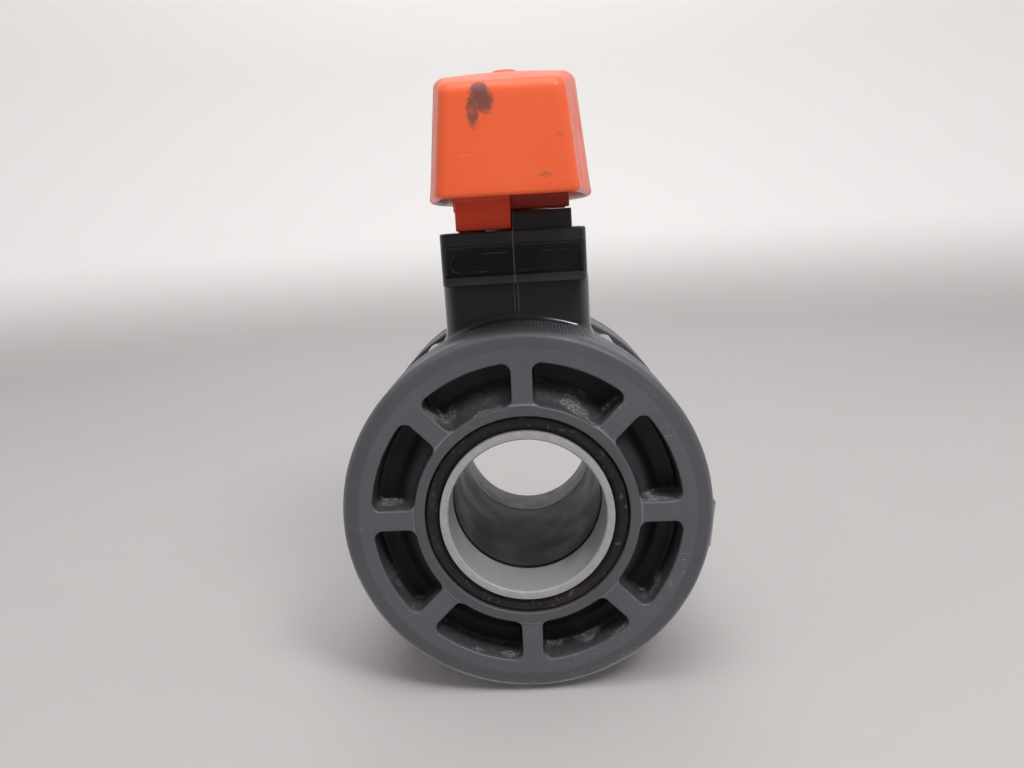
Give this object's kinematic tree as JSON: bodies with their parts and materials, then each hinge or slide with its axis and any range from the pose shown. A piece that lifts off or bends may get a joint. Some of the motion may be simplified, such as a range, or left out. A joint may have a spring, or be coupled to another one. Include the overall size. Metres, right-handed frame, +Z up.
{
  "type": "union ball valve",
  "caption": "Plastic quarter-turn ball valve with ribbed union nuts, orange crossbar handle and cut pipe stubs, shown open.",
  "frame": {"origin": "centre of the foot's underside, on the surface the valve stands on, below the crossing of the stem axis and the pipe axis", "axes": "+Z up along the stem; the pipe and the open handle run along Y; the front end, seen in the picture, is at -Y; +X is to the right seen from the front"},
  "size_m": [0.1374, 0.148, 0.2302],
  "materials": {
    "body_plastic": "glossy near-black moulded plastic",
    "nut_plastic": "satin dark grey moulded plastic, scuffed",
    "socket_plastic": "black moulded plastic",
    "pipe_plastic": "light grey pipe with a sawn end",
    "ball_plastic": "polished dark grey",
    "stem_plastic": "turned dark grey plastic",
    "handle_plastic": "orange-red moulded plastic, satin, scuffed",
    "seat_plastic": "white low-friction seat plastic",
    "seal_rubber": "black rubber",
    "screw_steel": "stainless",
    "insert_brass": "machined brass"
  },
  "bodies": {
    "valve": {"valve_body": "body_plastic", "stem_thrust_washer": "seat_plastic", "seat_carrier": "socket_plastic", "seat_carrier_oring": "seal_rubber", "seat_front": "seat_plastic", "seat_rear": "seat_plastic", "seat_cushion_oring_front": "seal_rubber", "seat_cushion_oring_rear": "seal_rubber", "foot_insert_left": "insert_brass", "foot_insert_right": "insert_brass"},
    "handle": {"handle": "handle_plastic", "handle_cap": "handle_plastic", "handle_screw": "screw_steel", "handle_washer": "screw_steel", "stem": "stem_plastic", "stem_oring_lower": "seal_rubber", "stem_oring_upper": "seal_rubber"},
    "ball": {"ball": "ball_plastic"},
    "front_union": {"end_connector_front": "socket_plastic", "pipe_stub_front": "pipe_plastic", "face_oring_front": "seal_rubber"},
    "front_nut": {"union_nut_front": "nut_plastic"},
    "rear_union": {"end_connector_rear": "socket_plastic", "pipe_stub_rear": "pipe_plastic", "face_oring_rear": "seal_rubber"},
    "rear_nut": {"union_nut_rear": "nut_plastic"}
  },
  "joints": [
    {"name": "handle_turn", "type": "hinge", "parent": "valve", "child": "handle", "pos_m": [0, 0, 0.1697], "axis": [0, 0, 1], "range_deg": [-90, 0]},
    {"name": "ball_turn", "type": "hinge", "parent": "valve", "child": "ball", "pos_m": [0, 0, 0.0685], "axis": [0, 0, 1], "range_deg": [-90, 0]},
    {"name": "front_union_travel", "type": "slide", "parent": "valve", "child": "front_union", "axis": [0, -1, 0], "range_m": [0, 0.0113]},
    {"name": "front_nut_turn", "type": "hinge", "parent": "front_union", "child": "front_nut", "pos_m": [0, -0.04, 0.0685], "axis": [0, -1, 0], "range_deg": [0, 810]},
    {"name": "rear_union_travel", "type": "slide", "parent": "valve", "child": "rear_union", "axis": [0, 1, 0], "range_m": [0, 0.0113]},
    {"name": "rear_nut_turn", "type": "hinge", "parent": "rear_union", "child": "rear_nut", "pos_m": [0, 0.04, 0.0685], "axis": [0, 1, 0], "range_deg": [0, 810]}
  ],
  "couplings": [
    {"joint": "ball_turn", "follows": "handle_turn", "ratio": 1},
    {"joint": "front_union_travel", "follows": "front_nut_turn", "m_per_rad": 0.00079577},
    {"joint": "rear_union_travel", "follows": "rear_nut_turn", "m_per_rad": 0.00079577}
  ]
}
